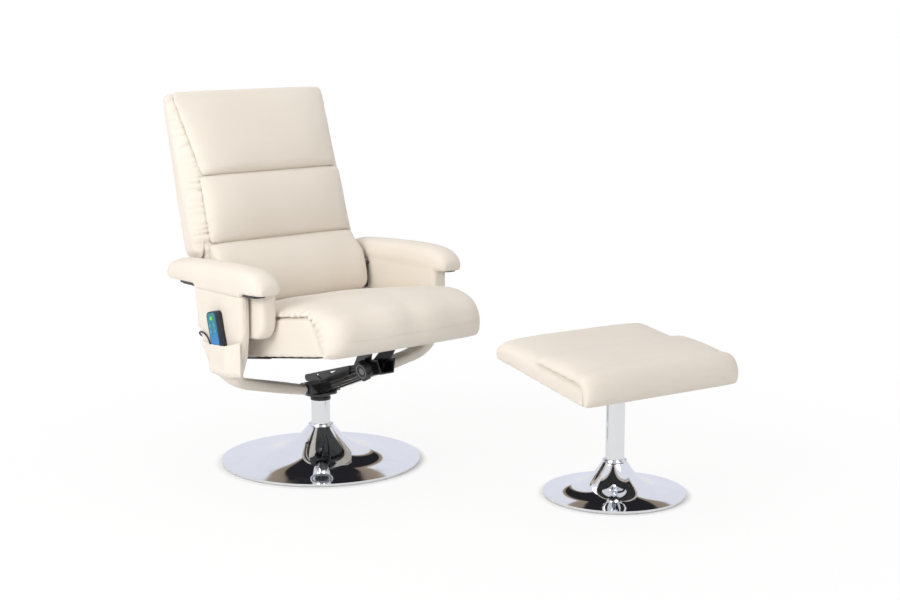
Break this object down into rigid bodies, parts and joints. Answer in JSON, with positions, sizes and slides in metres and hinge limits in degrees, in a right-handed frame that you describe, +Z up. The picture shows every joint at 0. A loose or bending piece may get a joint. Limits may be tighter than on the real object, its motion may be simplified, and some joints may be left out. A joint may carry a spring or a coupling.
{
  "type": "swivel recliner with footstool",
  "caption": "Padded swivel recliner with round trumpet base, clamp knob recline, massage handset in a side pocket, and a matching tilted footstool.",
  "frame": {"origin": "floor point under the chair's swivel axis", "axes": "+Z up, the sitter faces -Y, +X is the sitter's left"},
  "size_m": [1.02, 1.3464, 1.0137],
  "materials": {
    "chrome": "mirror plated",
    "black_steel": "satin powder coat",
    "plain_steel": "zinc plated",
    "cream_leather": "semi-matt leatherette",
    "black_plastic": "fine textured",
    "black_rubber": "matt",
    "blue_plastic": "glossy",
    "teal_face": "printed film",
    "green_key": "glossy",
    "grey_key": "satin",
    "board": "lacquered board",
    "plywood": "raw",
    "heater_cloth": "felt"
  },
  "bodies": {
    "base": {"floor_ring": "black_rubber", "floor_plate": "black_steel", "base_cover": "chrome", "column": "chrome", "foot_bolts": "plain_steel", "neck_collar": "chrome", "swivel_bush": "black_plastic"},
    "swivel_frame": {"swivel_spindle": "black_steel", "hub_plate": "black_steel", "cross_tube": "black_steel", "front_arm": "black_steel", "hoop_cores": "black_steel", "hoop_sleeve_left": "cream_leather", "hoop_sleeve_right": "cream_leather", "arm_rails": "black_steel", "arm_pad_left": "cream_leather", "arm_pad_right": "cream_leather", "arm_panel_left": "cream_leather", "arm_panel_right": "cream_leather", "recline_brackets": "black_steel", "pivot_bolts": "plain_steel", "slot_guide_bolt": "plain_steel", "handset_pocket": "cream_leather", "control_box": "black_plastic", "cord_gland": "black_rubber", "handset_cord": "black_rubber"},
    "seat": {"seat_pan": "black_steel", "seat_cushion": "cream_leather", "seat_overlay": "cream_leather", "seat_motors": "black_plastic", "slot_brackets": "black_steel", "seat_links": "black_steel"},
    "back": {"back_frame": "black_steel", "back_shell": "cream_leather", "head_cushion": "cream_leather", "middle_cushion": "cream_leather", "lumbar_cushion": "cream_leather", "hinge_plates": "black_steel", "back_motors": "black_plastic", "heat_pad": "heater_cloth"},
    "knob": {"lock_knob": "black_plastic", "clamp_screw": "plain_steel"},
    "handset": {"handset_front": "blue_plastic", "handset_back": "black_plastic", "handset_face": "teal_face", "handset_board": "board"},
    "power_key": {"power_button": "green_key"},
    "mode_key": {"mode_button": "grey_key"},
    "speed_key": {"speed_button": "grey_key"},
    "heat_key": {"heat_button": "grey_key"},
    "timer_key": {"timer_button": "grey_key"},
    "footstool": {"stool_floor_ring": "black_rubber", "stool_floor_plate": "black_steel", "stool_base_cover": "chrome", "stool_column": "chrome", "stool_foot_bolts": "plain_steel", "stool_neck_collar": "chrome", "stool_board": "plywood", "stool_pad": "cream_leather", "stool_overlay": "cream_leather"}
  },
  "joints": [
    {"name": "swivel", "type": "hinge", "parent": "base", "child": "swivel_frame", "pos_m": [0, 0, 0.18], "axis": [0, 0, 1], "continuous": true},
    {"name": "back_recline", "type": "hinge", "parent": "swivel_frame", "child": "back", "pos_m": [0, 0.14, 0.4646], "axis": [-1, 0, 0], "range_deg": [0, 30]},
    {"name": "seat_glide", "type": "slide", "parent": "swivel_frame", "child": "seat", "axis": [0, -0.9882, 0.153], "range_m": [0, 0.0381]},
    {"name": "lock_turn", "type": "hinge", "parent": "swivel_frame", "child": "knob", "pos_m": [-0.027, -0.252, 0.3072], "axis": [-0.9703, -0.037, -0.2391], "range_deg": [0, 360]},
    {"name": "handset_lift", "type": "slide", "parent": "swivel_frame", "child": "handset", "axis": [0, 0.2588, 0.9659], "range_m": [0, 0.045]},
    {"name": "power_key_press", "type": "slide", "parent": "handset", "child": "power_key", "axis": [1, 0, 0], "range_m": [0, 0.001], "stiffness_N_per_m": 400},
    {"name": "mode_key_press", "type": "slide", "parent": "handset", "child": "mode_key", "axis": [1, 0, 0], "range_m": [0, 0.001], "stiffness_N_per_m": 400},
    {"name": "speed_key_press", "type": "slide", "parent": "handset", "child": "speed_key", "axis": [1, 0, 0], "range_m": [0, 0.001], "stiffness_N_per_m": 400},
    {"name": "heat_key_press", "type": "slide", "parent": "handset", "child": "heat_key", "axis": [1, 0, 0], "range_m": [0, 0.001], "stiffness_N_per_m": 400},
    {"name": "timer_key_press", "type": "slide", "parent": "handset", "child": "timer_key", "axis": [1, 0, 0], "range_m": [0, 0.001], "stiffness_N_per_m": 400},
    {"name": "footstool_slide", "type": "slide", "parent": "base", "child": "footstool", "axis": [0, -1, 0], "range_m": [0, 0.3]}
  ],
  "couplings": [
    {"joint": "seat_glide", "follows": "back_recline", "m_per_rad": 0.0722}
  ]
}
